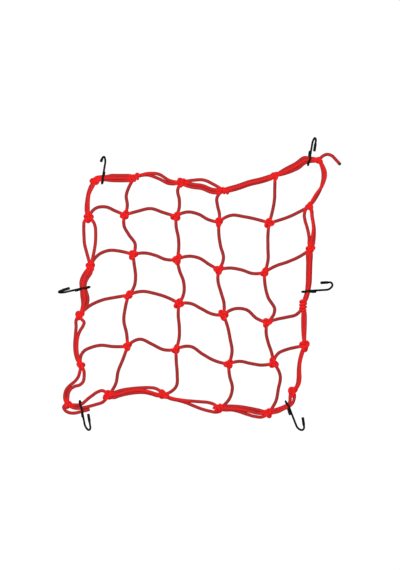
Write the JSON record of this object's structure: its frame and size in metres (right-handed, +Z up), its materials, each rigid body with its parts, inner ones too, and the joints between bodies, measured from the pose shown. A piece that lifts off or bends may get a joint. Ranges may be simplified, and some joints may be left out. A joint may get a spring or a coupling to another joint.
{
  "type": "luggage net",
  "caption": "Knotted elastic cord luggage net lying flat, with open square meshes, a border of doubled cords and bent wire hooks held round the border by their eyes.",
  "frame": {"origin": "middle of the whole thing seen from above, on the surface that it lies on", "axes": "+Z up from that surface; +Y towards the top edge and +X towards the right edge of the net as the picture shows it from straight above"},
  "size_m": [0.4711, 0.4887, 0.018],
  "materials": {
    "red_elastic_cord": "matt braided sheath over rubber strands",
    "black_coated_wire": "satin plastic coat over steel wire"
  },
  "bodies": {
    "root": {"net": "red_elastic_cord", "hook_top_left": "black_coated_wire", "hook_top_right": "black_coated_wire", "hook_left": "black_coated_wire", "hook_right": "black_coated_wire", "hook_bottom_left": "black_coated_wire", "hook_bottom_right": "black_coated_wire"}
  },
  "joints": []
}
